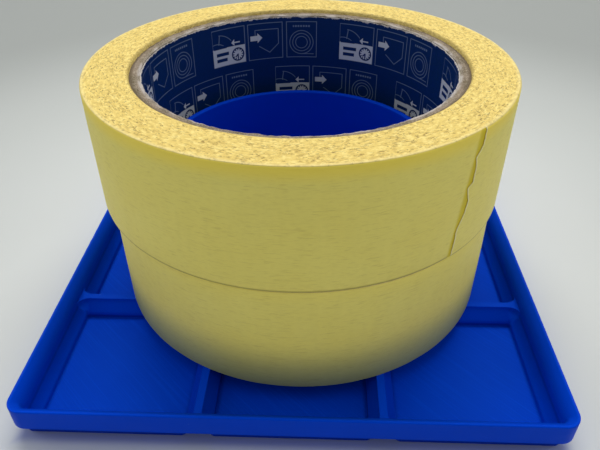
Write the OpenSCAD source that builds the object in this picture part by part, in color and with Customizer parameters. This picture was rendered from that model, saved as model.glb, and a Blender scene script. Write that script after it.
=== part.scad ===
// Tape tray: two rolls of masking tape stand on a divided tray and turn round a hub.
// Origin: middle of the tray's underside. +Z is up and the front faces -Y.

/* [Tray] */
// Pitch of the grid that the tray's cells and feet follow
grid_pitch = 42; // [38:0.5:51]
// Gap that the tray and each foot leave to the grid
grid_gap = 0.5; // [0.2:0.1:1]
// Radius of the tray's outer corners
tray_corner_r = 3.75; // [3.25:0.25:6]
// Thickness of the web between two pockets, over the gap between their feet
web_t = 1.25; // [0.8:0.05:3]
// Height of the rim above the divider tops, which the rolls stand on
rim_rise = 4.5; // [3.5:0.5:15]
// Thickness of a divider at its top
divider_t = 1.8; // [1.2:0.1:3]
// Thickness of the pocket floors
floor_t = 1; // [0.8:0.1:1.2]
// Height of the straight wall at a pocket's mouth
pocket_mouth_h = 1; // [0.5:0.1:1.5]
// Corner radius of a pocket at its mouth
pocket_corner_r = 2.75; // [2.75:0.25:5]
// Flat land on top of the rim
rim_land = 0.6; // [0.4:0.1:1.2]
// Height of the bevel inside the rim, which centres a stacked tray
rim_bevel = 1.9; // [1:0.1:2.5]

/* [Feet] */
// Height of the lower bevel of a foot
foot_low_bevel = 0.8; // [0.5:0.1:1]
// Height of the straight band of a foot
foot_band = 1.8; // [1.5:0.1:2]
// Height of the upper bevel of a foot, and of the slope inside a pocket
foot_top_bevel = 2.15; // [1.8:0.05:2.3]

/* [Hub] */
// Play between the hub and a core, all round
hub_play = 2.1; // [0.6:0.1:4]
// How far the hub reaches into the upper roll
hub_reach = 7; // [3:0.5:20]
// Wall thickness of the hub
hub_wall = 1.6; // [1.2:0.1:3]
// Floor thickness of the hub
hub_floor_t = 1.2; // [0.8:0.1:3]
// Clearance round the plug that drops into the middle pocket
plug_gap = 0.25; // [0.1:0.05:0.5]

/* [Rolls] */
// Width of the tape
tape_w = 30; // [19:1:50]
// Thickness of one layer of tape
tape_t = 0.15; // [0.12:0.01:0.2]
// Bore of a lined core
core_bore_d = 77; // [64:0.2:80]
// Thickness of the printed paper lining
liner_t = 0.3; // [0.2:0.05:0.5]
// Wall thickness of the cardboard core
core_wall = 2.6; // [2:0.1:4]
// How far a core's ends lie below the edges of the tape
core_recess = 0.9; // [0.4:0.1:2]
// How far the lining's ends lie inside the core's ends
liner_recess = 0.5; // [0.2:0.1:1.5]
// Thickness of the tape wound on the lower core
lower_wind_t = 9; // [3:0.5:13]
// Thickness of the tape wound on the upper core
upper_wind_t = 11; // [3:0.5:13]

/* [Free ends] */
// Length of the free end along the roll
end_length = 26; // [15:1:40]
// Gap between a free end and the layer beneath it
end_gap = 0.25; // [0.2:0.05:0.4]
// Direction of the torn edge on the upper roll, seen from above
upper_tear_angle = -46; // [-70:1:-20]
// Direction of the torn edge on the lower roll, seen from above
lower_tear_angle = 125; // [100:1:150]

/* [Hidden] */
$fn = 96;

cut = 1;                  // how far a cutter runs past the face that it opens
cells = 3;                // cells along each side of the tray
tray_blue = "#0038a0";
tape_yellow = "#e4cf8a";
card_grey = "#968c78";
print_navy = "#04183a";

tray_half = (cells * grid_pitch - grid_gap) / 2;
foot_h = foot_low_bevel + foot_band + foot_top_bevel;
foot_half = (grid_pitch - grid_gap) / 2;
foot_band_half = foot_half - foot_top_bevel;
foot_band_r = tray_corner_r - foot_top_bevel;
foot_tip_half = foot_band_half - foot_low_bevel;
foot_tip_r = foot_band_r - foot_low_bevel;

lip_t = rim_land + rim_bevel;
pocket_inner = grid_pitch / 2 - divider_t / 2;      // half of the middle pocket's mouth
pocket_near = grid_pitch / 2 + divider_t / 2;       // near side of an outer pocket's mouth
pocket_far = tray_half - lip_t;                     // far side of an outer pocket's mouth
outer_half = (pocket_far - pocket_near) / 2;
outer_mid = (pocket_far + pocket_near) / 2;
divider_h = foot_h + web_t;
rim_h = divider_h + rim_rise;
slope_top = divider_h - pocket_mouth_h;
slope_bottom = slope_top - foot_top_bevel;

bore_r = core_bore_d / 2;
core_in = bore_r + liner_t;
core_out = core_in + core_wall;
core_h = tape_w - 2 * core_recess;
liner_h = core_h - 2 * liner_recess;
lower_r = core_out + lower_wind_t;
upper_r = core_out + upper_wind_t;
lower_z = divider_h;
upper_z = divider_h + tape_w;
lower_at = [0.45 * hub_play, 0, lower_z];           // a loose roll stands a little off centre
upper_at = [0.15 * hub_play, 0.85 * hub_play, upper_z];

hub_r = bore_r - hub_play;
hub_h = tape_w + hub_reach;                         // above the divider tops
hub_edge = 0.4;                                     // bevel on both edges of the hub's rim
plug_half = pocket_inner - plug_gap;
plug_r = pocket_corner_r - plug_gap;

// Plan of a rectangle with round corners
module round_plan(half_x, half_y, r) {
    square([2 * half_x, 2 * (half_y - r)], center = true);
    square([2 * (half_x - r), 2 * half_y], center = true);
    for (sx = [-1, 1], sy = [-1, 1])
        translate([sx * (half_x - r), sy * (half_y - r)])
            circle(r);
}

// Upright block with round corners
module round_block(half_x, half_y, r, height) {
    linear_extrude(height)
        round_plan(half_x, half_y, r);
}

// Section of a block whose two sides lean out by grow over its height
module bevel_section(half, grow, height) {
    polygon([[-half, 0], [half, 0], [half + grow, height], [-half - grow, height]]);
}

// Block with round corners that grows evenly from its bottom to its top
module bevel_block(half_x, half_y, r, grow, height) {
    rotate([90, 0, 0])
        linear_extrude(2 * (half_y - r), center = true)
            bevel_section(half_x, grow, height);
    rotate([90, 0, 90])
        linear_extrude(2 * (half_x - r), center = true)
            bevel_section(half_y, grow, height);
    for (sx = [-1, 1], sy = [-1, 1])
        translate([sx * (half_x - r), sy * (half_y - r), 0])
            cylinder(h = height, r1 = r, r2 = r + grow);
}

// One foot, which drops into a cell of the grid
module foot() {
    bevel_block(foot_tip_half, foot_tip_half, foot_tip_r, foot_low_bevel, foot_low_bevel);
    translate([0, 0, foot_low_bevel])
        round_block(foot_band_half, foot_band_half, foot_band_r, foot_band);
    translate([0, 0, foot_low_bevel + foot_band])
        bevel_block(foot_band_half, foot_band_half, foot_band_r, foot_top_bevel, foot_top_bevel);
}

// Space inside a pocket: straight low walls, a slope and a straight mouth
module pocket_space(half_x, half_y) {
    low_x = half_x - foot_top_bevel;
    low_y = half_y - foot_top_bevel;
    low_r = pocket_corner_r - foot_top_bevel;
    translate([0, 0, floor_t])
        round_block(low_x, low_y, low_r, slope_bottom - floor_t);
    translate([0, 0, slope_bottom])
        bevel_block(low_x, low_y, low_r, foot_top_bevel, foot_top_bevel);
    translate([0, 0, slope_top])
        round_block(half_x, half_y, pocket_corner_r, divider_h - slope_top + cut);
}

// Middle and half length of the pocket in column or row i, which is -1, 0 or 1
function pocket_mid(i) = i * outer_mid;
function pocket_half(i) = i == 0 ? pocket_inner : outer_half;

// Space inside the rim
module rim_space() {
    in_half = tray_half - lip_t;
    in_r = tray_corner_r - lip_t;
    translate([0, 0, divider_h])
        round_block(in_half, in_half, in_r, rim_h - rim_bevel - divider_h);
    translate([0, 0, rim_h - rim_bevel])
        bevel_block(in_half, in_half, in_r, rim_bevel, rim_bevel);
}

// Square tray with nine pockets and nine feet
module tray() {
    color(tray_blue)
        difference() {
            union() {
                for (i = [-1, 0, 1], j = [-1, 0, 1])
                    translate([i * grid_pitch, j * grid_pitch, 0])
                        foot();
                translate([0, 0, foot_h])
                    round_block(tray_half, tray_half, tray_corner_r, rim_h - foot_h);
            }
            rim_space();
            for (i = [-1, 0, 1], j = [-1, 0, 1])
                translate([pocket_mid(i), pocket_mid(j), 0])
                    pocket_space(pocket_half(i), pocket_half(j));
        }
}

// Open cup that the rolls turn round, with a square plug that keeps it in the middle pocket
module hub() {
    top = divider_h + hub_h;
    color(tray_blue)
        union() {
            rotate_extrude()
                polygon([
                    [0, divider_h],
                    [hub_r, divider_h],
                    [hub_r, top - hub_edge],
                    [hub_r - hub_edge, top],
                    [hub_r - hub_wall + hub_edge, top],
                    [hub_r - hub_wall, top - hub_edge],
                    [hub_r - hub_wall, divider_h + hub_floor_t],
                    [0, divider_h + hub_floor_t]
                ]);
            translate([0, 0, slope_bottom])
                bevel_block(
                    plug_half - foot_top_bevel,
                    plug_half - foot_top_bevel,
                    plug_r - foot_top_bevel,
                    foot_top_bevel,
                    foot_top_bevel
                );
            translate([0, 0, slope_top])
                round_block(plug_half, plug_half, plug_r, divider_h - slope_top);
        }
}

// Plain ring
module ring(r_in, r_out, height) {
    difference() {
        cylinder(h = height, r = r_out);
        translate([0, 0, -cut])
            cylinder(h = height + 2 * cut, r = r_in);
    }
}

// Cardboard core of a roll
module core(at) {
    color(card_grey)
        translate(at + [0, 0, core_recess])
            ring(core_in, core_out, core_h);
}

// Printed paper lining of a core
module liner(at) {
    color(print_navy)
        translate(at + [0, 0, core_recess + liner_recess])
            ring(bore_r, core_in, liner_h);
}

// Angle that a length covers at a radius
function arc_angle(length, r) = length / r * 180 / PI;

// Wedge of the plan between two angles less than half a turn apart
module wedge(from, to, reach) {
    mid = (from + to) / 2;
    polygon([
        [0, 0],
        [reach * cos(from), reach * sin(from)],
        [reach * cos(mid), reach * sin(mid)],
        [reach * cos(to), reach * sin(to)]
    ]);
}

// Wound tape, one layer lower where the free end lies on it
module wound_tape(at, r, tear) {
    seat_r = r - tape_t - end_gap;
    root = tear + arc_angle(end_length + end_gap, r);
    color(tape_yellow)
        translate(at)
            difference() {
                ring(core_out, r, tape_w);
                translate([0, 0, -cut])
                    linear_extrude(tape_w + 2 * cut)
                        difference() {
                            wedge(tear, root, 2 * r);
                            circle(seat_r);
                        }
            }
}

// Free end of the outer layer, from its torn edge to its root
module free_end(at, r, tear) {
    color(tape_yellow)
        translate(at)
            linear_extrude(tape_w)
                intersection() {
                    difference() {
                        circle(r);
                        circle(r - tape_t);
                    }
                    wedge(tear, tear + arc_angle(end_length, r), 2 * r);
                }
}

module lower_core() { core(lower_at); }
module lower_liner() { liner(lower_at); }
module lower_tape() { wound_tape(lower_at, lower_r, lower_tear_angle); }
module lower_tape_end() { free_end(lower_at, lower_r, lower_tear_angle); }
module upper_core() { core(upper_at); }
module upper_liner() { liner(upper_at); }
module upper_tape() { wound_tape(upper_at, upper_r, upper_tear_angle); }
module upper_tape_end() { free_end(upper_at, upper_r, upper_tear_angle); }

tray();
hub();
lower_core();
lower_liner();
lower_tape();
lower_tape_end();
upper_core();
upper_liner();
upper_tape();
upper_tape_end();
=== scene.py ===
"""Looks of the tape tray: a printed tray and hub, and two rolls of masking tape that turn round the hub."""

import math
import random

import bmesh
import bpy
from bpy.props import FloatProperty, FloatVectorProperty, IntProperty, PointerProperty
from mathutils import Matrix, Vector, noise


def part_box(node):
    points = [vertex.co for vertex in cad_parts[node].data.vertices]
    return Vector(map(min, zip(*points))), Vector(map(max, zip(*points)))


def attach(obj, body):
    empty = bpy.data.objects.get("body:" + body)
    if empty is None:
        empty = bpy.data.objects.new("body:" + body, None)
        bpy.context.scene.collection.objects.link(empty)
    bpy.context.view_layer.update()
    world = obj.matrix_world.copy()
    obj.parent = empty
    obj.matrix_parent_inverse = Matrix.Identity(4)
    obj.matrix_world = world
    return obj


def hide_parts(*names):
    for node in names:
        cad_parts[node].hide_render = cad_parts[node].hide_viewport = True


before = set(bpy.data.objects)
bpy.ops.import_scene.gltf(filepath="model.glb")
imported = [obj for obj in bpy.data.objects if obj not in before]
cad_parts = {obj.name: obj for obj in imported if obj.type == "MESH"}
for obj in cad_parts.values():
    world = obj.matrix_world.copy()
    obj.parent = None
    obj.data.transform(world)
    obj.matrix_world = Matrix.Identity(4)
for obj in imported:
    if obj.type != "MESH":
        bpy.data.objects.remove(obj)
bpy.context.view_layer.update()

bl_info = {
    "name": "Tape tray",
    "version": (1, 0, 0),
    "blender": (4, 5, 0),
    "location": "View3D > Sidebar > Tape tray",
    "description": "Builds a printed tray with a hub and two rolls of masking tape",
    "category": "Object",
}

MM = 0.001
TURN = 2 * math.pi
ROLLS = ("lower", "upper")


# ---------------------------------------------------------------- sizes from the frame

def ring_sizes(node):
    """Middle of a round node's underside, its radius and its height"""
    low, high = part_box(node)
    middle = (low + high) / 2
    return Vector((middle.x, middle.y, low.z)), (high.y - low.y) / 2, high.z - low.z


RIM_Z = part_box("tray")[1].z
DIVIDER_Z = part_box("lower_tape")[0].z
HUB_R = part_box("hub")[1].x
HUB_TOP_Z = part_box("hub")[1].z
CORE_R = ring_sizes("upper_core")[1]

# points nearer than this are one point, and a point nearer than this to a height is level with it
WELD = 0.002 * MM
LEVEL = 0.01 * MM

# the tray's square pockets: their pitch, the height of their floors, and half the width of the flat floors
GRID = 42 * MM
POCKET_FLOOR_Z = 1.0 * MM
FLOOR_HALF = max(abs(vert.co.x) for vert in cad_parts["tray"].data.vertices
                 if abs(vert.co.z - POCKET_FLOOR_Z) < LEVEL and abs(vert.co.x) < GRID / 2)


def srgb(red, green, blue):
    """A colour given in screen values from 0 to 255, as linear light"""
    def linear(value):
        share = value / 255
        return share / 12.92 if share <= 0.04045 else ((share + 0.055) / 1.055) ** 2.4
    return tuple(linear(value) for value in (red, green, blue))


def shade(tone, share):
    """A colour made lighter or darker"""
    return tuple(part * share for part in tone)


# ---------------------------------------------------------------- settings

def length(name, description, default_mm, low_mm=0.0, high_mm=1000.0):
    return FloatProperty(name=name, description=description, default=default_mm * MM,
                         min=low_mm * MM, max=high_mm * MM, unit="LENGTH", precision=5)


def colour(name, description, default):
    return FloatVectorProperty(name=name, description=description, default=default,
                               size=3, min=0, max=1, subtype="COLOR")


class TapeTraySizes(bpy.types.PropertyGroup):
    """Sizes that the printed pieces and the rolls take beyond those of the frame"""
    divider_round: length("Divider rounding", "Radius of the rounded tops of the dividers", 0.85, 0.1, 0.88)
    rim_round: length("Rim rounding", "Radius of the rim's outer edge", 0.3, 0.05, 0.5)
    floor_fillet: length("Floor fillet", "Radius where a pocket's wall meets its floor", 0.5, 0.05, 0.6)
    hub_wall: length("Hub wall", "Thickness of the hub's wall", 1.6, 1.2, 3)
    hub_floor: length("Hub floor", "Thickness of the hub's floor", 1.2, 0.8, 3)
    hub_round: length("Hub rounding", "Radius of both edges of the hub's rim", 0.5, 0.1, 0.75)
    plug_slope: length("Plug slope", "Height of the slope under the hub's plug", 2.15, 1.8, 2.3)
    plug_side: length("Plug side", "Side of the square plug under the hub", 39.7, 30, 41)
    plug_mouth: length("Plug mouth", "Height of the plug's upright walls", 1.0, 0.5, 1.5)
    plug_corner: length("Plug corner", "Corner radius of the hub's plug", 2.5, 2, 5)
    layer: length("Tape layer", "Thickness of one layer of tape", 0.15, 0.1, 0.2)
    tape_round: length("Tape edge rounding", "Radius of the wound tape's outer edges", 0.6, 0.1, 1.5)
    end_length: length("Free end", "Length of the free end along the roll", 26, 15, 40)
    end_lift: length("Free end's lift", "How far the torn edge stands off the roll", 0.1, 0.02, 1)
    lining: length("Lining", "Thickness of the printed lining", 0.3, 0.2, 0.5)
    card_wall: length("Card wall", "Thickness of the cardboard core", 2.6, 2, 4)
    round_steps: IntProperty(name="Steps round a roll", description="Faces round a whole turn of a roll",
                             default=288, min=96, max=512)


class TapeTrayFinish(bpy.types.PropertyGroup):
    """Colours of the pieces"""
    plastic: colour("Plastic", "Colour of the printed tray and hub", srgb(0, 62, 202))
    tape_side: colour("Tape side", "Colour of the tape's back", srgb(246, 231, 121))
    tape_edge: colour("Tape edge", "Colour of the wound layers' edges", srgb(229, 202, 113))
    speck: colour("Edge speck", "Colour of the specks on the wound layers' edges", srgb(134, 108, 54))
    card: colour("Cardboard", "Colour of the core", srgb(140, 127, 105))
    print_ground: colour("Print ground", "Ground colour of the printed lining", srgb(0, 40, 88))
    print_line: colour("Print line", "Colour of the lining's thin lines", srgb(112, 128, 150))
    print_block: colour("Print block", "Colour of the lining's filled blocks", srgb(202, 206, 206))


class TapeTrayStage(bpy.types.PropertyGroup):
    """Camera and floor"""
    camera_place: FloatVectorProperty(
        name="Camera", description="Where the camera stands, in the tray's frame", size=3,
        default=(5.4065 * MM, -139.566 * MM, 118.446 * MM), unit="LENGTH", precision=5)
    camera_turn: FloatProperty(name="Turn", description="Turn of the view to the side",
                               default=math.radians(-2.135), unit="ROTATION")
    camera_dip: FloatProperty(name="Dip", description="How far the view looks down",
                              default=math.radians(36.156), unit="ROTATION")
    camera_roll: FloatProperty(name="Roll", description="Roll of the view",
                               default=math.radians(-0.25), unit="ROTATION")
    lens: FloatProperty(name="Lens", description="Focal length for a 36 mm wide sensor", default=35.314,
                        unit="CAMERA")
    floor: colour("Floor", "Colour of the floor and the backdrop", srgb(210, 213, 213))


def sizes():
    return bpy.context.scene.tape_tray_sizes


def finish():
    return bpy.context.scene.tape_tray_finish


# ---------------------------------------------------------------- shader expressions

class Value:
    """An output of a material's nodes, on which Python's operators add Math nodes"""

    def __init__(self, maker, socket):
        self.maker = maker
        self.socket = socket

    def math(self, operation, *others):
        return self.maker.math(operation, self, *others)

    def __add__(self, other):
        return self.math("ADD", other)

    __radd__ = __add__

    def __sub__(self, other):
        return self.math("SUBTRACT", other)

    def __rsub__(self, other):
        return self.maker.math("SUBTRACT", other, self)

    def __mul__(self, other):
        return self.math("MULTIPLY", other)

    __rmul__ = __mul__

    def __truediv__(self, other):
        return self.math("DIVIDE", other)

    def above(self, limit, soft):
        """0 below the limit and 1 above it, over a soft width"""
        return self.maker.step(self, limit - soft / 2, limit + soft / 2)

    def below(self, limit, soft):
        return 1 - self.above(limit, soft)

    def between(self, low, high, soft):
        return self.above(low, soft) * self.below(high, soft)


class Maker:
    """A new material with one Principled shader, and the calls that add its nodes"""

    def __init__(self, name, **uniform):
        self.material = bpy.data.materials.new(name)
        self.material.use_nodes = True
        self.tree = self.material.node_tree
        self.tree.nodes.clear()
        output = self.tree.nodes.new("ShaderNodeOutputMaterial")
        self.shader = self.tree.nodes.new("ShaderNodeBsdfPrincipled")
        self.tree.links.new(self.shader.outputs[0], output.inputs[0])
        for socket, value in uniform.items():
            self.shader.inputs[socket.replace("_", " ").title().replace("Ior", "IOR")].default_value = value

    def put(self, socket, value):
        """Links a value to an input, or sets it as its number or colour"""
        if isinstance(value, Value):
            self.tree.links.new(value.socket, socket)
        elif hasattr(value, "__len__") and len(value) == 3 and socket.type == "RGBA":
            socket.default_value = (*value, 1.0)
        else:
            socket.default_value = value

    def node(self, kind, settings=None, inputs=None, output=0):
        """Adds a node with its settings and its inputs' values or links, and gives one output"""
        made = self.tree.nodes.new(kind)
        for name, value in (settings or {}).items():
            if name == "stops":
                self.set_stops(made.color_ramp, value)
            else:
                setattr(made, name, value)
        for key, value in (inputs or {}).items():
            self.put(made.inputs[key], value)
        return Value(self, made.outputs[output])

    def set_stops(self, ramp, stops):
        while len(ramp.elements) < len(stops):
            ramp.elements.new(0.5)
        for element, (place, tone) in zip(ramp.elements, stops):
            element.position = place
            element.color = (*tone, 1.0)

    def math(self, operation, *values):
        return self.node("ShaderNodeMath", {"operation": operation}, dict(enumerate(values)))

    def step(self, value, low, high):
        """0 at low and 1 at high, smooth between them"""
        return self.node("ShaderNodeMapRange", {"interpolation_type": "SMOOTHSTEP"},
                         {"Value": value, "From Min": low, "From Max": high})

    def blend(self, share, first, second):
        """A colour between two colours"""
        return self.node("ShaderNodeMix", {"data_type": "RGBA"}, {0: share, 6: first, 7: second}, 2)

    def coat(self, base, *layers):
        """A colour with others laid over it in turn, each as far as its share says"""
        for share, tone in layers:
            base = self.blend(share, base, tone)
        return base

    def tint(self, share, first, second):
        """The first colour multiplied by the second, as far as the share says"""
        return self.node("ShaderNodeMix", {"data_type": "RGBA", "blend_type": "MULTIPLY"},
                         {0: share, 6: first, 7: second}, 2)

    def vector(self, x, y, z):
        return self.node("ShaderNodeCombineXYZ", {}, {0: x, 1: y, 2: z})

    def parts(self, vector):
        return [self.node("ShaderNodeSeparateXYZ", {}, {0: vector}, place) for place in range(3)]

    def object_mm(self):
        """Place on the object, in millimetres, as three values"""
        place = self.node("ShaderNodeTexCoord", output="Object")
        scaled = self.node("ShaderNodeVectorMath", {"operation": "SCALE"}, {0: place, "Scale": 1 / MM})
        return self.parts(scaled)

    def map_mm(self, layer):
        """A UV map whose units are millimetres, as two values"""
        return self.parts(self.node("ShaderNodeUVMap", {"uv_map": layer}))[:2]

    def noise(self, vector, scale=1.0, detail=2.0, rough=0.5):
        """Noise from 0 to 1 round a half"""
        return self.node("ShaderNodeTexNoise", {}, {"Vector": vector, "Scale": scale, "Detail": detail,
                                                    "Roughness": rough})

    def set(self, name, value):
        self.put(self.shader.inputs[name], value)

    def bump(self, height, distance_mm, strength=1.0):
        """Raises the surface by a height in units of the distance"""
        made = self.node("ShaderNodeBump", {}, {"Height": height, "Distance": distance_mm * MM,
                                                "Strength": strength})
        self.set("Normal", made)


# ---------------------------------------------------------------- finishes

def printed_plastic(name, depth=1.0):
    """Blue printed plastic: layer lines on the walls, slanted lines on the floors, and a little dust"""
    m = Maker(name, roughness=0.5, specular_ior_level=0.06, specular_tint=(0.1, 0.65, 1.0, 1.0))
    x, y, z = m.object_mm()
    place = m.vector(x, y, z)
    layers = m.noise(m.vector(x * 0.02, y * 0.02, z * 4.0), detail=3.0, rough=0.7)
    slanted = m.noise(m.vector((x + y) * 1.9, (x - y) * 0.03, z * 0.1), detail=2.0, rough=0.6)
    cloud = m.noise(place, 0.06, 3.0, 0.6)
    grain = m.noise(place, 2.6, 2.0, 0.6)
    dust = m.noise(place, 0.9, 1.0).above(0.86, 0.02)
    floors = z.below(1.2, 0.3)
    walls = 1 - floors
    # depth below 1 darkens the whole colour: painted shade, a darker copy of the same blue plastic
    blue = shade(finish().plastic, depth)
    base = m.blend((cloud - 0.5) * 0.8 + 0.5, shade(blue, 0.9), shade(blue, 1.1))
    base = m.blend(floors * slanted.above(0.58, 0.2) * 0.25, base, srgb(6, 84, 232))
    base = pocket_shade(m, base, x, y, z)
    base = m.blend(dust * 0.4, base, srgb(120, 140, 190))
    m.set("Base Color", base)
    m.set("Roughness", 0.46 + (layers - 0.5) * 0.16 + (grain - 0.5) * 0.12)
    m.bump(layers * walls * 0.5 + slanted * floors + grain * 0.12, 0.05, 0.55)
    return m.material


def pocket_shade(m, base, x, y, z):
    """Darkens the colour at the foot of each pocket's walls, and on the slopes at its two sides"""
    pitch = GRID / MM
    floor_half = FLOOR_HALF / MM
    cell_x, cell_y = (m.math("ABSOLUTE", m.math("FLOORED_MODULO", way + pitch / 2, pitch) - pitch / 2)
                      for way in (x, y))
    to_wall = m.math("MAXIMUM", cell_x, cell_y)
    foot = to_wall.above(floor_half - 0.55, 1.6) * z.below(1.9, 0.8)
    slopes = cell_x.above(floor_half, 0.2) * cell_y.below(floor_half, 1.0) * z.between(1.2, 5.2, 0.6)
    base = m.tint(foot * 0.75, base, (0.3, 0.32, 0.45))
    return m.tint(slopes * 0.5, base, (0.4, 0.45, 0.6))


class RoundPlace:
    """Place on a round piece: direction from its axis, distance from it and height over the piece's
    underside, in millimetres"""

    def __init__(self, m, centre, radius):
        self.m = m
        self.radius = radius / MM
        x, y, z = m.object_mm()
        x = x - centre.x / MM
        y = y - centre.y / MM
        self.away = m.math("SQRT", x * x + y * y)
        self.east = x / self.away
        self.north = y / self.away
        self.up = z - centre.z / MM

    def grain(self, across, along_mm, across_mm, detail=2.0, rough=0.5):
        """Noise stretched round the piece: it is so long the way round and so wide across"""
        turn = self.radius / along_mm
        return self.m.noise(self.m.vector(self.east * turn, self.north * turn, across / across_mm), 1.0,
                            detail, rough)


def tape_back(m, place, roll):
    """Colour of the tape's finely creped back, with painted highlight towards its top and painted shade at
    its foot; the crepe; and the relief
    """
    paper = finish().tape_side
    up = place.up
    crepe = place.grain(up, 1.6, 0.34, 3.0, 0.6)
    dashes = place.grain(up + 40, 3.2, 0.28, 1.0).above(0.66, 0.1)
    mottle = place.grain(up, 2.2, 9.0)
    cloud = place.grain(up + 80, 14.0, 14.0, 3.0, 0.6)
    base = m.coat(paper,
                  (mottle.above(0.5, 0.5) * 0.3, shade(paper, 0.92)),
                  (cloud.above(0.5, 0.6) * 0.25, srgb(240, 218, 96)),
                  (dashes * 0.16, srgb(176, 146, 60)),
                  (crepe.above(0.56, 0.2) * 0.1, srgb(196, 172, 80)),
                  # painted highlight along the top of the back
                  (up.above(roll.width / MM - 2.6, 4.0) * roll.warm_light, srgb(255, 228, 84)))
    # painted shade at the foot of the back, carried with the roll
    painted_shade_mm, painted_shade_tone = roll.foot
    base = m.tint(up.below(painted_shade_mm, 2 * painted_shade_mm) * 0.9, base, painted_shade_tone)
    return base, crepe, crepe * 0.7 + mottle * 0.5 + dashes * -0.5


def layer_edges(m, place):
    """Colour and relief of the wound layers' edges: pale flakes, dark specks that lie in clusters, a painted
    highlight at the outer edge and painted shade at the core
    """
    away = place.away
    depth = away + place.up
    fine = place.grain(depth, 0.95, 0.32, 3.0, 0.65)
    cluster = place.grain(depth + 90, 3.4, 1.3, 2.0, 0.6)
    flake = place.grain(depth + 20, 1.3, 0.55, 3.0, 0.65)
    streak = place.grain(depth + 30, 3.2, 0.4, 2.0, 0.6)
    patch = place.grain(depth + 60, 8.0, 3.0, 2.0, 0.6)
    specks = fine.above(0.57, 0.08) * cluster.above(0.46, 0.16)
    # painted highlight along the rounded outer edge
    outermost = away.above(place.radius - 0.9, 0.9)
    # painted shade where the layers' edges drop to the core
    core_shade = away.below(CORE_R / MM + 0.4, 0.5)
    base = m.coat(finish().tape_edge,
                  (streak.above(0.5, 0.24) * 0.55, srgb(226, 198, 112)),
                  (patch.above(0.52, 0.3) * 0.3, srgb(236, 208, 118)),
                  (flake.above(0.56, 0.14) * cluster.above(0.38, 0.2) * 0.6, srgb(194, 164, 84)),
                  (specks * 0.78, finish().speck),
                  (flake.below(0.43, 0.12) * 0.5, srgb(250, 232, 152)),
                  (outermost * 0.5, srgb(242, 224, 156)),
                  (core_shade * (0.15 + flake * 0.4), srgb(160, 140, 82)))
    return base, fine * 2.2 + streak * 1.4


def tear_shadow_strip(m, along, height, width_mm):
    """The painted shadow beside the tear, a deeper yellow: it lies between the torn edge and a straight,
    slanted line
    """
    reach = max(abs(lean) for _, lean in Roll.LEAN)
    stops = [(share, (lean / reach / 2 + 0.5,) * 3) for share, lean in Roll.LEAN]
    lean = m.node("ShaderNodeValToRGB", {"stops": stops}, {0: height / width_mm})
    beyond = (lean - 0.5) * (2 * reach) - along
    from_line = along - (height / width_mm * 4.2 - 3.9)
    return beyond.above(-0.8, 0.3) * from_line.above(0.2, 1.2) * (1 - beyond * 0.1)


def tape_paper(name, roll, torn_edge=False):
    """Creped masking tape: its back, the edges of its wound layers, and its torn edge or the painted shadow
    beside it
    """
    m = Maker(name, roughness=0.6, specular_ior_level=0.25)
    place = RoundPlace(m, roll.centre, roll.radius)
    width_mm = roll.width / MM
    side = place.away.above(place.radius - 0.75, 0.2) * place.up.below(width_mm - 0.22, 0.2)
    back, crepe, back_relief = tape_back(m, place, roll)
    edge, edge_relief = layer_edges(m, place)
    base = m.blend(side, edge, back)
    along, height = m.map_mm("torn")
    if torn_edge:
        # a pale band at the torn edge: torn fibres, and a painted highlight where the edge faces the light
        base = m.blend(along.below(0.2, 0.2) * 0.6, base, srgb(255, 250, 214))
    else:
        # painted shadow of the lifted torn edge, in deeper yellow
        base = m.blend(tear_shadow_strip(m, along, height, width_mm) * side, base, srgb(222, 198, 30))
    m.set("Base Color", base)
    m.set("Roughness", 0.62 - side * 0.1 + (crepe - 0.5) * 0.2)
    m.bump(side * back_relief + (1 - side) * edge_relief, 0.07, 0.6)
    return m.material


def cardboard(name, centre):
    """Rough grey board, felted at its cut end, pale at its bore, and with painted shade at its outer edge
    under the tape's inner wall
    """
    m = Maker(name, roughness=0.95, ior=1.3)
    place = RoundPlace(m, centre, CORE_R)
    away = place.away
    plies = place.grain(away, 3.0, 0.22, 2.0, 0.7)
    blot = place.grain(away, 5.0, 2.0)
    felt = m.vector(away * place.east * 1.5, away * place.north * 1.5, place.up)
    fibre = m.noise(felt, 2.4, 4.0, 0.75)
    bore_mm = (CORE_R - sizes().card_wall) / MM
    at_bore = away.below(bore_mm + 0.6, 0.7)
    # painted shade at the outer edge, under the tape's inner wall
    outermost = away.above(place.radius - 0.8, 0.9)
    base = m.coat(finish().card,
                  (plies.above(0.5, 0.24) * 0.5, srgb(112, 98, 78)),
                  (fibre.above(0.54, 0.12) * 0.6, srgb(84, 72, 54)),
                  (blot.above(0.5, 0.3) * 0.35, srgb(186, 166, 150)),
                  (fibre.below(0.43, 0.08) * 0.5, srgb(204, 194, 178)),
                  (at_bore * (0.1 + blot.above(0.52, 0.24) * 0.45), srgb(212, 207, 204)),
                  (outermost * 0.65, srgb(96, 84, 68)))
    m.set("Base Color", base)
    m.bump(fibre + plies * 0.6, 0.28, 0.9)
    return m.material


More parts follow.
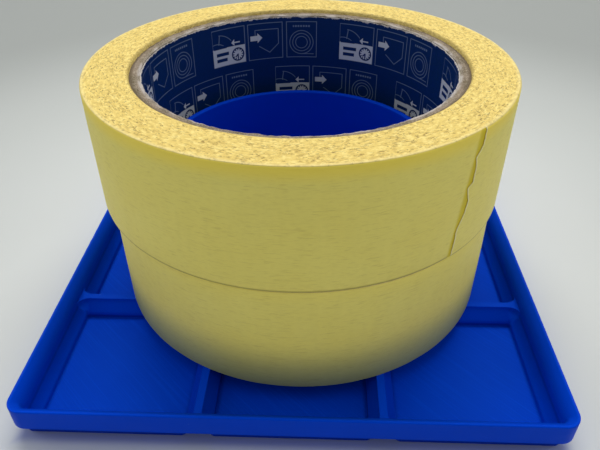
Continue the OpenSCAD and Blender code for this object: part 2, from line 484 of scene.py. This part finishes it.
class Signs:
    """The lining's print: three framed signs in a group, repeated round the bore in two staggered rows.
    Lengths are in millimetres, with x to the right seen from the middle of the bore and y down."""

    GROUPS = 6
    ROW_PITCH = 13.85
    TOP_GAP = 1.45
    FRAME_H = 10.9
    FRAMES = ((0.0, 10.85), (11.95, 22.65), (23.95, 33.1))
    LINE = 0.11
    SOFT = 0.16
    # how far above its frames each row's share of the paper starts
    LEAD = 1.2

    def __init__(self, m, across, down, bore):
        self.m = m
        pitch = TURN * bore / MM / self.GROUPS
        row = down.above(self.TOP_GAP + self.ROW_PITCH - self.LEAD, 0.001)
        self.x = m.math("FLOORED_MODULO", across - row * (pitch / 2), pitch)
        self.y = m.math("FLOORED_MODULO", down - self.TOP_GAP + self.LEAD, self.ROW_PITCH) - self.LEAD

    def union(self, *masks):
        whole = masks[0]
        for mask in masks[1:]:
            whole = self.m.math("MAXIMUM", whole, mask)
        return whole

    def unsigned(self, value):
        return self.m.math("ABSOLUTE", value)

    def box(self, middle, half):
        """Distance outside a rectangle's outline, negative inside it"""
        dx = self.unsigned(self.x - middle[0]) - half[0]
        dy = self.unsigned(self.y - middle[1]) - half[1]
        return self.union(dx, dy)

    def ring(self, middle, radius):
        """Distance outside a circle, negative inside it"""
        dx = self.x - middle[0]
        dy = self.y - middle[1]
        return self.m.math("SQRT", dx * dx + dy * dy) - radius

    def stroke(self, start, end, width=LINE):
        """A straight stroke"""
        run = (end[0] - start[0], end[1] - start[1])
        dx = self.x - start[0]
        dy = self.y - start[1]
        share = (dx * run[0] + dy * run[1]) * (1 / (run[0] ** 2 + run[1] ** 2))
        share = self.m.node("ShaderNodeClamp", {}, {"Value": share})
        dx = dx - share * run[0]
        dy = dy - share * run[1]
        return self.m.math("SQRT", dx * dx + dy * dy).below(width, self.SOFT)

    def outline(self, distance, width=LINE):
        return self.unsigned(distance).below(width, self.SOFT)

    def filled(self, distance):
        return distance.below(0.0, self.SOFT)

    def arrow(self, tip, way, head, shaft, half):
        """An arrow: its tip, its way as 1 or -1, its head's depth, and its shaft's ends and half width"""
        behind = (tip[0] - self.x) * way
        off = self.unsigned(self.y - tip[1])
        point = (off - behind).below(0.0, self.SOFT) * behind.below(head, self.SOFT)
        start, end = shaft
        return self.union(point, behind.between(start, end, self.SOFT) * off.below(half, self.SOFT))

    def frames(self):
        tall = self.FRAME_H / 2
        return [self.outline(self.box(((left + right) / 2, tall), ((right - left) / 2, tall)))
                for left, right in self.FRAMES]

    def tape_and_clock(self):
        """A strip of tape that is pulled up, over a pale block with a clock and bars: lines, pale parts"""
        x, y, soft = self.x, self.y, self.SOFT
        strip = self.stroke((2.2, 4.3), (2.6, 1.8), self.LINE * 1.2)
        arc = self.outline(self.ring((2.0, 7.2), 5.6)) * x.between(2.3, 6.4, soft) * y.below(4.2, soft)
        under = self.outline(self.ring((1.2, 8.4), 4.4)) * x.between(0.1, 5.4, soft) * y.below(4.8, soft)
        dial = (8.4, 8.2)
        tick_count = 12
        angle = self.m.math("ARCTAN2", y - dial[1], x - dial[0])
        ticks = self.m.math("COSINE", angle * tick_count).above(0.3, 0.5)
        ticks = ticks * self.ring(dial, 0).between(1.2, 1.8, 0.1)
        clock = [self.outline(self.ring(dial, 1.85), 0.22), ticks]
        clock += [self.stroke(dial, end, 0.2) for end in ((8.4, 9.4), (7.7, 8.9))]
        bars = [self.filled(self.box((3.3, 7.35), (2.1, 0.5))), self.filled(self.box((3.0, 9.1), (1.8, 0.5)))]
        teeth = self.m.math("PINGPONG", x, 0.45)
        ragged = self.filled(self.box((2.6, 5.3), (2.2, 0.35))) * (teeth + 5.05 - y).below(0.0, 0.1)
        block = self.filled(self.box((5.4, 8.2), (5.4, 2.7))) * (1 - self.union(*clock, *bars)) * (1 - ragged)
        back = self.arrow((6.4, 4.5), -1, 1.0, (0.8, 2.8), 0.18)
        return [strip, arc, under], [block, back]

    def cut_sheet(self):
        """The outline of a cut sheet, with a broad arrow: lines, pale parts"""
        corners = ((14.2, 4.0), (14.2, 1.9), (21.4, 1.9), (21.4, 6.4), (18.6, 9.0), (15.4, 6.9))
        sides = [self.stroke(start, end) for start, end in zip(corners, corners[1:])]
        return sides, [self.arrow((16.4, 4.3), 1, 1.5, (1.45, 3.75), 0.75)]

    def tape_roll(self):
        """A roll of tape with its free end, under a row of dashes: lines, pale parts"""
        middle = (28.5, 6.3)
        rings = [self.outline(self.ring(middle, radius)) for radius in (3.6, 2.7, 1.8)]
        free_end = self.stroke((28.5, 9.9), (32.2, 9.9))
        dash = self.m.math("PINGPONG", self.x, 0.4).above(0.12, 0.1)
        return [*rings, free_end, self.filled(self.box((28.5, 1.35), (2.6, 0.28))) * dash], []

    def masks(self):
        """Where the thin lines are, and where the pale parts are"""
        lines = self.frames()
        pale = []
        for thin, solid in (self.tape_and_clock(), self.cut_sheet(), self.tape_roll()):
            lines += thin
            pale += solid
        return self.union(*lines), self.union(*pale)


def lined_paper(name, centre, bore, lining_h, print_start):
    """Dark blue printed paper with rows of framed signs, and a pale torn upper edge"""
    m = Maker(name, roughness=0.5, specular_ior_level=0.2)
    across, height = m.map_mm("print")
    away = RoundPlace(m, centre, bore).away
    down = lining_h / MM - height
    lines, pale = Signs(m, across - print_start, down, bore).masks()
    worn = m.noise(m.vector(across * 0.8, height * 0.8, 0.0), 1.0, 3.0, 0.7)
    ink = m.noise(m.vector(across * 5, height * 5, 3.0), 1.0, 2.0, 0.7)
    rag = m.noise(m.vector(across * 0.42, 7.0, 0.0), 1.0, 5.0, 0.72)
    torn = (down - (rag - 0.46).math("MAXIMUM", 0.0) * 3.4).below(0.04, 0.12)
    outer = away.above(bore / MM + 0.15, 0.05)
    base = m.coat(finish().print_ground,
                  (worn.above(0.5, 0.5) * 0.35, srgb(2, 42, 106)),
                  (lines * (0.55 + ink * 0.6), finish().print_line),
                  (pale * (0.75 + ink * 0.4), finish().print_block),
                  (torn * 0.8, srgb(196, 190, 182)),
                  (outer, srgb(200, 194, 184)))
    m.set("Base Color", base)
    m.set("Roughness", 0.46 + (ink - 0.5) * 0.2 + torn * 0.4)
    fibre = m.noise(m.vector(across, height, away), 1.6, 3.0, 0.7)
    m.bump(fibre + torn * 2, 0.08, 0.5)
    return m.material


# ---------------------------------------------------------------- modelling calls

def deselect_all():
    if bpy.context.mode != "OBJECT":
        bpy.ops.object.mode_set(mode="OBJECT")
    bpy.ops.object.select_all(action="DESELECT")


def make_active(piece):
    deselect_all()
    piece.select_set(True)
    bpy.context.view_layer.objects.active = piece


def select_parts(piece, kind, test):
    """Selects the vertices, edges or faces of a piece in edit mode that pass a test"""
    bpy.ops.mesh.select_mode(type={"verts": "VERT", "edges": "EDGE", "faces": "FACE"}[kind])
    bpy.ops.mesh.select_all(action="DESELECT")
    mesh = bmesh.from_edit_mesh(piece.data)
    for part in getattr(mesh, kind):
        if test(part):
            part.select_set(True)
    mesh.select_flush_mode()
    bmesh.update_edit_mesh(piece.data)


def level_edge(height, convex=True, least=math.radians(15)):
    """A test for sharp edges that lie level at a height"""
    def test(edge):
        if any(abs(vert.co.z - height) > 2 * LEVEL for vert in edge.verts) or not edge.is_manifold:
            return False
        turn = edge.calc_face_angle_signed(0.0)
        return turn > least if convex else turn < -least
    return test


def round_level_edges(piece, height, radius, convex=True, steps=3):
    """Rounds the sharp edges that lie level at a height"""
    select_parts(piece, "edges", level_edge(height, convex))
    bpy.ops.mesh.bevel(offset=radius, segments=steps, profile=0.5, affect="EDGES", clamp_overlap=True)


def shade_smooth(piece, degrees):
    """Shades a piece smooth, but for its edges sharper than an angle"""
    make_active(piece)
    bpy.ops.object.shade_smooth_by_angle(angle=math.radians(degrees))


def apply(piece, modifier):
    make_active(piece)
    bpy.ops.object.modifier_apply(modifier=modifier.name)


def smooth_finish(piece):
    """Shades a piece smooth, with its flat faces kept flat"""
    shade_smooth(piece, 32)
    weighted = piece.modifiers.new("flat_faces", "WEIGHTED_NORMAL")
    weighted.keep_sharp = True
    apply(piece, weighted)


def give(piece, material, body, slot, *nodes):
    """Finishes a piece: its material, the body that it rides on and the nodes that it stands for. The slot is
    not used
    """
    piece.data.materials.clear()
    piece.data.materials.append(material)
    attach(piece, body)
    if nodes:
        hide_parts(*nodes)


def arc(away, up, radius, start, end):
    """Points of a profile on an arc round a place, from one angle to another, in degrees"""
    steps = 4
    angles = [math.radians(start + (end - start) * n / steps) for n in range(steps + 1)]
    return [(away + radius * math.cos(t), up + radius * math.sin(t)) for t in angles]


def lathe(name, profile, centre, steps, closed=True):
    """Spins a profile of (radius, height) points round an upright axis through the centre"""
    deselect_all()
    # a plane drawn together into one point is the profile's start
    bpy.ops.mesh.primitive_plane_add(size=2 * MM, location=(0, 0, 0))
    piece = bpy.context.object
    piece.name = name
    piece.data.name = name
    bpy.ops.object.mode_set(mode="EDIT")
    bpy.ops.mesh.select_mode(type="VERT")
    bpy.ops.mesh.select_all(action="SELECT")
    bpy.ops.mesh.merge(type="CENTER")
    first = Vector((profile[0][0], 0, profile[0][1]))
    bpy.ops.transform.translate(value=centre + first)
    for (r0, z0), (r1, z1) in zip(profile, profile[1:]):
        bpy.ops.mesh.extrude_vertices_move(TRANSFORM_OT_translate={"value": (r1 - r0, 0, z1 - z0)})
    bpy.ops.mesh.select_all(action="SELECT")
    if closed:
        bpy.ops.mesh.edge_face_add()
        bpy.ops.mesh.delete(type="ONLY_FACE")
        bpy.ops.mesh.select_all(action="SELECT")
    bpy.ops.mesh.spin(steps=steps, angle=TURN, center=centre, axis=(0, 0, 1))
    bpy.ops.mesh.select_all(action="SELECT")
    bpy.ops.mesh.remove_doubles(threshold=WELD)
    bpy.ops.mesh.select_all(action="SELECT")
    bpy.ops.mesh.normals_make_consistent(inside=False)
    bpy.ops.object.mode_set(mode="OBJECT")
    return piece


def move_points(piece, rule):
    """Moves every point of a piece by a rule from its old place to its new one"""
    for vert in piece.data.vertices:
        vert.co = rule(vert.co)
    piece.data.update()


def wave(*place):
    """Smooth noise from -1 to 1, the same in every run"""
    return noise.noise(Vector(place))


def around(centre, point):
    """Angle round a centre, distance from its axis and height over it"""
    offset = point - centre
    return math.atan2(offset.y, offset.x), math.hypot(offset.x, offset.y), offset.z


def place_at(centre, angle, away, up):
    return Vector((centre.x + away * math.cos(angle), centre.y + away * math.sin(angle), centre.z + up))


def unroll(piece, layer_name, centre, radius, start, turn=1):
    """Gives a round piece a UV map in millimetres: the way round from a start angle, and the height"""
    layer = piece.data.uv_layers.new(name=layer_name)
    half = TURN / 2
    for face in piece.data.polygons:
        middle = (around(centre, face.center)[0] - start + half) % TURN - half
        for index in face.loop_indices:
            point = piece.data.vertices[piece.data.loops[index].vertex_index].co
            angle, away, up = around(centre, point)
            angle = middle + (angle - start - middle + half) % TURN - half
            layer.data[index].uv = (turn * angle * radius / MM, up / MM)


# ---------------------------------------------------------------- printed pieces

class TAPETRAY_OT_tray(bpy.types.Operator):
    """Makes the printed tray: the exact tray with its edges rounded as the printer leaves them"""
    bl_idname = "tape_tray.tray"
    bl_label = "Tray"

    def execute(self, context):
        size = sizes()
        piece = bpy.data.objects.new("tray_body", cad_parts["tray"].data.copy())
        piece.data.name = "tray_body"
        context.scene.collection.objects.link(piece)
        make_active(piece)
        bpy.ops.object.mode_set(mode="EDIT")
        bpy.ops.mesh.select_all(action="SELECT")
        bpy.ops.mesh.remove_doubles(threshold=WELD)
        bpy.ops.mesh.dissolve_limited(angle_limit=math.radians(0.2))
        round_level_edges(piece, RIM_Z, size.rim_round)
        round_level_edges(piece, DIVIDER_Z, size.divider_round, steps=4)
        round_level_edges(piece, POCKET_FLOOR_Z, size.floor_fillet, convex=False)
        bpy.ops.object.mode_set(mode="OBJECT")
        smooth_finish(piece)
        give(piece, printed_plastic("printed_tray_blue"), "base", "tray_plastic", "tray")
        return {"FINISHED"}


def cup_profile(size):
    """Half section of the cup: its small foot chamfer, its rounded rim, and the fillet round its floor"""
    fillet = 1.0 * MM
    chamfer = 0.2 * MM
    edge = size.hub_round
    inside_r = HUB_R - size.hub_wall
    floor = DIVIDER_Z + size.hub_floor
    profile = [(0.0, DIVIDER_Z), (HUB_R - chamfer, DIVIDER_Z), (HUB_R, DIVIDER_Z + chamfer)]
    profile += arc(HUB_R - edge, HUB_TOP_Z - edge, edge, 0, 90)
    profile += arc(inside_r + edge, HUB_TOP_Z - edge, edge, 90, 180)
    profile += arc(inside_r - fillet, floor + fillet, fillet, 0, -90)
    return profile + [(0.0, floor)]


def hub_plug(size):
    """The square plug with its sloped underside, which reaches a little into the cup's floor"""
    reach = 0.3 * MM
    mouth = size.plug_mouth
    half = size.plug_side / 2
    deselect_all()
    bpy.ops.mesh.primitive_cube_add(size=2)
    plug = bpy.context.object
    plug.scale = (half, half, (mouth + reach) / 2)
    plug.location = (0, 0, DIVIDER_Z - mouth + (mouth + reach) / 2)
    bpy.ops.object.transform_apply(location=True, rotation=False, scale=True)
    bpy.ops.object.mode_set(mode="EDIT")
    select_parts(plug, "edges", lambda e: abs(e.verts[0].co.z - e.verts[1].co.z) > mouth / 2)
    bpy.ops.mesh.bevel(offset=size.plug_corner, segments=10, profile=0.5, affect="EDGES")
    select_parts(plug, "faces", lambda f: f.normal.z < -0.9)
    bpy.ops.mesh.inset(thickness=size.plug_slope, depth=size.plug_slope, use_even_offset=True)
    bpy.ops.object.mode_set(mode="OBJECT")
    return plug


class TAPETRAY_OT_hub(bpy.types.Operator):
    """Makes the open cup that the rolls turn round, with the square plug under it"""
    bl_idname = "tape_tray.hub"
    bl_label = "Hub"

    def execute(self, context):
        steps = 256
        cup = lathe("hub_cup", cup_profile(sizes()), Vector((0, 0, 0)), steps, closed=False)
        plug = hub_plug(sizes())
        join = cup.modifiers.new("plug", "BOOLEAN")
        join.operation = "UNION"
        join.object = plug
        join.solver = "EXACT"
        apply(cup, join)
        bpy.data.objects.remove(plug)
        smooth_finish(cup)
        # the hub's blue is the tray's at 0.88: painted shade for the cup that stands inside the rolls
        give(cup, printed_plastic("printed_hub_blue", depth=0.88), "hub", "hub_plastic", "hub")
        return {"FINISHED"}


# ---------------------------------------------------------------- rolls

class Roll:
    """Sizes of one roll, from its nodes, and what tells the two rolls' looks apart"""

    # direction of each roll's torn edge, seen from its axis
    TEAR = {"upper": math.radians(-46), "lower": math.radians(125)}
    # radius of a roll's lower edge as a share of its upper edge's
    LOW_EDGE = 0.4
    # share of painted highlight, a warmer yellow, towards the top of each roll's back
    TOP_HIGHLIGHT = {"upper": 0.8, "lower": 0.12}
    # how far up its back each roll is darkened, in millimetres, and the tone that darkens it: painted shade
    # at the upper roll's lower edge, in the crease between the rolls, and on the lower roll painted shade
    # with a painted blue reflection of the tray
    FOOT_SHADE = {"upper": (0.35, (0.32, 0.27, 0.2)), "lower": (7.8, (0.34, 0.44, 0.84))}
    # how far the torn edge leans along the roll at shares of the tape's width, in millimetres
    LEAN = ((0.0, -2.6), (0.1, -2.35), (0.24, -2.1), (0.36, -0.35), (0.45, 0.15), (0.57, -0.95), (0.6, 0.6),
            (0.72, 0.75), (0.8, 0.15), (0.87, 1.95), (1.0, 2.2))

    def __init__(self, name):
        self.centre, self.radius, self.width = ring_sizes(name + "_tape")
        self.tear = self.TEAR[name]
        self.foot = self.FOOT_SHADE[name]
        self.warm_light = self.TOP_HIGHLIGHT[name]
        self.sweep = sizes().end_length / self.radius

    def lean(self, share):
        """How far along the roll the torn edge stands from its middle line, at a share of the width"""
        last = self.LEAN[0]
        for point in self.LEAN[1:]:
            if share <= point[0]:
                part = (share - last[0]) / (point[0] - last[0])
                return (last[1] + (point[1] - last[1]) * part) * MM
            last = point
        return self.LEAN[-1][1] * MM

    def torn_at(self, up):
        """Distance along the roll from the tear's middle line to the torn edge, at a height"""
        share = up / self.width
        jag = 0.22 * wave(up / MM * 0.9, 3.1, 0) + 0.12 * wave(up / MM * 3.1, 9.2, 0)
        return self.lean(share) + jag * MM


def wound_profile(roll, size, rand):
    """Section of the wound tape: its inner wall, the layers' edges, the rounded corners and the back"""
    bands = 26
    back_rows = 10
    wall_margin = 0.5 * MM
    first_edge = CORE_R + 0.35 * MM
    high = roll.width
    edge = size.tape_round
    low_edge = edge * Roll.LOW_EDGE
    back_h = high - edge - low_edge

    def end_face(base, inward, round_r):
        """Points across an end, each layer's edge a little inside it"""
        across = roll.radius - round_r - first_edge
        return [(first_edge + across * n / bands, base + inward * rand.uniform(0.02, 0.1) * MM)
                for n in range(bands + 1)]

    profile = [(CORE_R, wall_margin), (CORE_R, high - wall_margin)]
    profile += end_face(high, -1, edge)
    profile += arc(roll.radius - edge, high - edge, edge, 90, 0)[1:]
    profile += [(roll.radius, high - edge - back_h * n / back_rows) for n in range(1, back_rows)]
    profile += arc(roll.radius - low_edge, low_edge, low_edge, 0, -90)
    profile += reversed(end_face(0.0, 1, low_edge)[:-1])
    return profile


class TAPETRAY_OT_wound_tape(bpy.types.Operator):
    """Makes both windings, whose outermost layer steps down by one layer at the tear"""
    bl_idname = "tape_tray.wound_tape"
    bl_label = "Wound tape"

    def execute(self, context):
        size = sizes()
        # how far the back sinks under the free end, and the angle past the end's root where it sinks nowhere
        seat_depth = 1.1 * size.layer
        full_angle = 0.004
        ripple = 0.05 * MM
        for name in ROLLS:
            roll = Roll(name)
            rand = random.Random(name)
            profile = wound_profile(roll, size, rand)
            piece = lathe(name + "_wound_tape", profile, roll.centre, size.round_steps)
            root = roll.tear + roll.sweep
            wound = TURN - roll.sweep

            def sunk(angle):
                """How far the back lies inside the full radius"""
                past = (angle - root) % TURN
                if past > wound:
                    return seat_depth
                return size.layer * past / wound if past >= full_angle else 0.0

            def settle(point):
                angle, away, up = around(roll.centre, point)
                east, north = math.cos(angle), math.sin(angle)
                if away > roll.radius - size.tape_round - LEVEL:
                    away -= sunk(angle)
                elif away > CORE_R + 0.1 * MM:
                    up += ripple * wave(away / MM * 1.3, east * 9, north * 9)
                up = min(max(up, 0.0), roll.width)
                away += ripple * wave(east * 7, north * 7, up / MM * 0.12)
                return place_at(roll.centre, angle, min(away, roll.radius), up)

            move_points(piece, settle)
            unroll(piece, "torn", roll.centre, roll.radius, roll.tear)
            shade_smooth(piece, 50)
            give(piece, tape_paper(name + "_tape_paper", roll), name + "_roll",
                 "masking_tape", name + "_tape")
        return {"FINISHED"}


class TAPETRAY_OT_free_ends(bpy.types.Operator):
    """Makes the free end of each roll: a thin sheet on the winding, torn and a little lifted at its end"""
    bl_idname = "tape_tray.free_ends"
    bl_label = "Free ends"

    def execute(self, context):
        size = sizes()
        rows = 150
        columns = 44
        # the sheet's columns stand closer together towards the tear
        crowding = 1.7
        margin = 0.04 * MM
        # how far from the tear the sheet lifts, and how far from its long edges it lifts in full
        lifted = 7 * MM
        held = 2.5 * MM
        for name in ROLLS:
            roll = Roll(name)
            deselect_all()
            bpy.ops.mesh.primitive_grid_add(x_subdivisions=columns, y_subdivisions=rows, size=2)
            piece = context.object
            piece.name = name + "_free_end"
            piece.data.name = piece.name

            def on_sheet(point):
                """Height over the roll's underside, and the ways from the tear and from its middle line"""
                up = margin + (point.y + 1) / 2 * (roll.width - 2 * margin)
                torn = roll.torn_at(up)
                from_tear = ((point.x + 1) / 2) ** crowding * (size.end_length - torn)
                return up, from_tear, torn + from_tear

            def rounded(up):
                """How far the roll's rounded edges bring the sheet inwards at a height"""
                edge = size.tape_round
                for gap, round_r in ((up, edge * Roll.LOW_EDGE), (roll.width - up, edge)):
                    if gap < round_r:
                        return round_r - math.sqrt(max(round_r ** 2 - (round_r - gap) ** 2, 0))
                return 0.0

            def wrap(point):
                up, from_tear, along = on_sheet(point)
                near = max(0.0, 1 - from_tear / lifted)
                free = min(1.0, min(up, roll.width - up) / held)
                lift = size.end_lift * free * near ** 2 * (0.55 + 0.45 * wave(up / MM * 0.35, 5.0, 1.0))
                outer = roll.radius - rounded(up) + lift
                return place_at(roll.centre, roll.tear + along / roll.radius, outer, up)

            ways = [on_sheet(vert.co) for vert in piece.data.vertices]
            layer = piece.data.uv_layers.new(name="torn")
            for loop in piece.data.loops:
                up, from_tear, _ = ways[loop.vertex_index]
                layer.data[loop.index].uv = (from_tear / MM, up / MM)
            move_points(piece, wrap)
            solid = piece.modifiers.new("thickness", "SOLIDIFY")
            solid.thickness = size.layer * 0.9
            solid.offset = -1
            apply(piece, solid)
            shade_smooth(piece, 40)
            give(piece, tape_paper(name + "_end_paper", roll, torn_edge=True),
                 name + "_end", "masking_tape", name + "_tape_end")
        return {"FINISHED"}


class TAPETRAY_OT_cores(bpy.types.Operator):
    """Makes the cardboard cores, with rough cut ends"""
    bl_idname = "tape_tray.cores"
    bl_label = "Cardboard cores"

    def execute(self, context):
        size = sizes()
        bands = 8
        # how far the middle of a cut end bulges, how far its edges lie back, and how proud it may stand
        crown = 0.25 * MM
        drop = 0.28 * MM
        proud = 0.3 * MM
        for name in ROLLS:
            centre, outer, high = ring_sizes(name + "_core")
            inner = outer - size.card_wall
            across = [inner + (outer - inner) * n / bands for n in range(bands + 1)]
            profile = [(r, high) for r in across] + [(r, 0.0) for r in reversed(across)]
            piece = lathe(name + "_card_core", profile, centre, size.round_steps)

            def roughen(point):
                angle, away, up = around(centre, point)
                east, north = math.cos(angle), math.sin(angle)
                end = 1 if up > high / 2 else -1
                share = min(max((away - inner) / (outer - inner), 0), 1)
                rough = 0.28 * wave(east * 40, north * 40, away / MM * 1.2)
                rough += 0.12 * wave(east * 120, north * 120, away / MM * 3)
                up += end * (crown * math.sin(math.pi * share) - drop + rough * 0.8 * MM)
                return place_at(centre, angle, away, min(max(up, -proud), high + proud))

            move_points(piece, roughen)
            shade_smooth(piece, 50)
            give(piece, cardboard(name + "_cardboard", centre), name + "_roll", "core_card", name + "_core")
        return {"FINISHED"}


class TAPETRAY_OT_linings(bpy.types.Operator):
    """Makes the printed paper linings, with a ragged upper edge"""
    bl_idname = "tape_tray.linings"
    bl_label = "Printed linings"

    def execute(self, context):
        size = sizes()
        rows = 12
        # share of the height that is ragged, at each end
        ragged_share = 0.1
        # where the print's first group starts, in millimetres round the bore
        print_starts = {"upper": -89.89, "lower": -76.0}
        for name in ROLLS:
            centre, outer, high = ring_sizes(name + "_liner")
            bore = outer - size.lining
            heights = [high * n / rows for n in range(rows + 1)]
            profile = [(bore, h) for h in heights] + [(outer, h) for h in reversed(heights)]
            piece = lathe(name + "_printed_lining", profile, centre, 2 * size.round_steps)

            def ragged(point):
                angle, away, up = around(centre, point)
                east, north = math.cos(angle), math.sin(angle)
                rag = 0.22 * wave(east * 30, north * 30, 2.0) + 0.16 * wave(east * 110, north * 110, 5.0)
                share = up / high
                end = max(0.0, 1 - (1 - share) / ragged_share) - max(0.0, 1 - share / ragged_share)
                return place_at(centre, angle, away, up + end * (rag - 0.1) * MM)

            move_points(piece, ragged)
            unroll(piece, "print", centre, bore, 0.0, turn=-1)
            shade_smooth(piece, 40)
            paper = lined_paper(name + "_lining_print", centre, bore, high, print_starts[name])
            give(piece, paper, name + "_roll", "printed_liner", name + "_liner")
        return {"FINISHED"}


# ---------------------------------------------------------------- stage

def area_light(name, energy, size, place, tone):
    """A wide lamp that faces the middle of the rolls"""
    rolls_middle = Vector((0, 0, 40 * MM))
    data = bpy.data.lights.new(name, "AREA")
    data.shape = "RECTANGLE"
    data.size, data.size_y = size
    data.energy = energy
    data.color = tone
    light = bpy.data.objects.new(name, data)
    light.location = place
    light.rotation_mode = "QUATERNION"
    light.rotation_quaternion = (rolls_middle - Vector(place)).to_track_quat("-Z", "Y")
    bpy.context.scene.collection.objects.link(light)


def stage_paper():
    """Pale matt floor, with a painted shadow and a painted blue reflection close to the tray, and painted
    shade that greys and darkens it further away
    """
    m = Maker("stage_paper", roughness=0.7)
    x, y, z = m.object_mm()
    grain = m.noise(m.vector(x, y, z), 0.02, 4.0, 0.6)
    away = m.math("SQRT", x * x + y * y)
    outward = m.math("MAXIMUM", m.math("ABSOLUTE", x), m.math("ABSOLUTE", y))
    base = m.blend(grain, bpy.context.scene.tape_tray_stage.floor, srgb(206, 209, 208))
    base = m.coat(base,
                  # painted blue reflection of the tray on the floor round it
                  (outward.below(68, 12) * 0.12, srgb(172, 192, 240)),
                  # painted shadow under the tray's edges
                  (outward.below(62.6, 3) * 0.6, srgb(52, 84, 182)),
                  # painted shade: greyer and darker further from the tray, as the light falls off
                  (away.above(108, 110), srgb(184, 187, 184)),
                  (away.above(200, 130), srgb(151, 154, 151)))
    m.set("Base Color", base)
    return m.material


def stage_floor():
    """The floor, whose far edge is drawn up in a curve as the backdrop"""
    far_y = 0.6
    deselect_all()
    bpy.ops.mesh.primitive_plane_add(size=2)
    floor = bpy.context.object
    floor.name = "stage_floor"
    floor.scale = (2.4, 1.2, 1)
    floor.location = (0, -0.5, 0)
    bpy.ops.object.transform_apply(location=True, rotation=False, scale=True)
    bpy.ops.object.mode_set(mode="EDIT")
    select_parts(floor, "edges", lambda e: all(v.co.y > far_y for v in e.verts))
    bpy.ops.mesh.extrude_edges_move(TRANSFORM_OT_translate={"value": (0, 0.05, 1.6)})
    select_parts(floor, "edges", lambda e: all(v.co.y > far_y and v.co.z < 0.1 for v in e.verts))
    bpy.ops.mesh.bevel(offset=0.35, segments=16, profile=0.5, affect="EDGES")
    bpy.ops.object.mode_set(mode="OBJECT")
    shade_smooth(floor, 60)
    floor.data.materials.append(stage_paper())


def studio_light():
    """A pale sky, one wide lamp above and one on each side"""
    world = bpy.data.worlds.new("studio")
    world.use_nodes = True
    sky = world.node_tree.nodes["Background"]
    sky.inputs["Color"].default_value = (0.93, 0.96, 1.0, 1.0)
    sky.inputs["Strength"].default_value = 0.5
    bpy.context.scene.world = world
    warm_light = (1.0, 0.99, 0.97)
    cool = (0.96, 0.98, 1.0)
    area_light("key_above", 6.4, (0.8, 0.5), (0.02, 0.34, 0.82), warm_light)
    area_light("left_fill", 1.8, (0.7, 0.7), (-1.0, 0.14, 0.6), cool)
    area_light("right_fill", 1.6, (0.7, 0.7), (1.0, 0.14, 0.6), warm_light)


def stage_camera(stage):
    """The camera, turned to the side, dipped and rolled as the settings say"""
    yaw, pitch, roll = stage.camera_turn, stage.camera_dip, stage.camera_roll
    ahead = Vector((math.sin(yaw) * math.cos(pitch), math.cos(yaw) * math.cos(pitch), -math.sin(pitch)))
    right = Vector((math.cos(yaw), -math.sin(yaw), 0))
    up = right.cross(ahead)
    side = right * math.cos(roll) + up * math.sin(roll)
    above = up * math.cos(roll) - right * math.sin(roll)
    lens = bpy.data.cameras.new("camera")
    lens.sensor_width = 36
    lens.lens = stage.lens
    lens.clip_start = 5 * MM
    camera = bpy.data.objects.new("camera", lens)
    turned = Matrix((side, above, -ahead)).transposed().to_4x4()
    camera.matrix_world = Matrix.Translation(stage.camera_place) @ turned
    bpy.context.scene.collection.objects.link(camera)
    bpy.context.scene.camera = camera


class TAPETRAY_OT_stage(bpy.types.Operator):
    """Makes the floor with its raised backdrop, the lights and the camera"""
    bl_idname = "tape_tray.stage"
    bl_label = "Stage"

    def execute(self, context):
        stage_floor()
        studio_light()
        stage_camera(context.scene.tape_tray_stage)
        context.scene.view_settings.view_transform = "Standard"
        return {"FINISHED"}


# ---------------------------------------------------------------- panel and running

class TAPETRAY_PT_panel(bpy.types.Panel):
    """Sizes, colours and the calls that build the pieces"""
    bl_idname = "TAPETRAY_PT_panel"
    bl_label = "Tape tray"
    bl_space_type = "VIEW_3D"
    bl_region_type = "UI"
    bl_category = "Tape tray"

    def draw(self, context):
        for group in GROUPS:
            settings = getattr(context.scene, group)
            for name in settings.bl_rna.properties.keys():
                if name not in {"rna_type", "name"}:
                    self.layout.prop(settings, name)
        for operator in OPERATORS:
            self.layout.operator(operator.bl_idname)


GROUPS = {
    "tape_tray_sizes": TapeTraySizes,
    "tape_tray_finish": TapeTrayFinish,
    "tape_tray_stage": TapeTrayStage,
}
OPERATORS = (TAPETRAY_OT_stage, TAPETRAY_OT_tray, TAPETRAY_OT_hub, TAPETRAY_OT_wound_tape,
             TAPETRAY_OT_free_ends, TAPETRAY_OT_cores, TAPETRAY_OT_linings)


def register():
    for cls in (*GROUPS.values(), *OPERATORS, TAPETRAY_PT_panel):
        bpy.utils.register_class(cls)
    for name, group in GROUPS.items():
        setattr(bpy.types.Scene, name, PointerProperty(type=group))


def unregister():
    for name in GROUPS:
        delattr(bpy.types.Scene, name)
    for cls in (TAPETRAY_PT_panel, *reversed(OPERATORS), *reversed(GROUPS.values())):
        bpy.utils.unregister_class(cls)


def main():
    register()
    for operator in OPERATORS:
        family, name = operator.bl_idname.split(".")
        getattr(getattr(bpy.ops, family), name)()


if __name__ == "__main__":
    main()
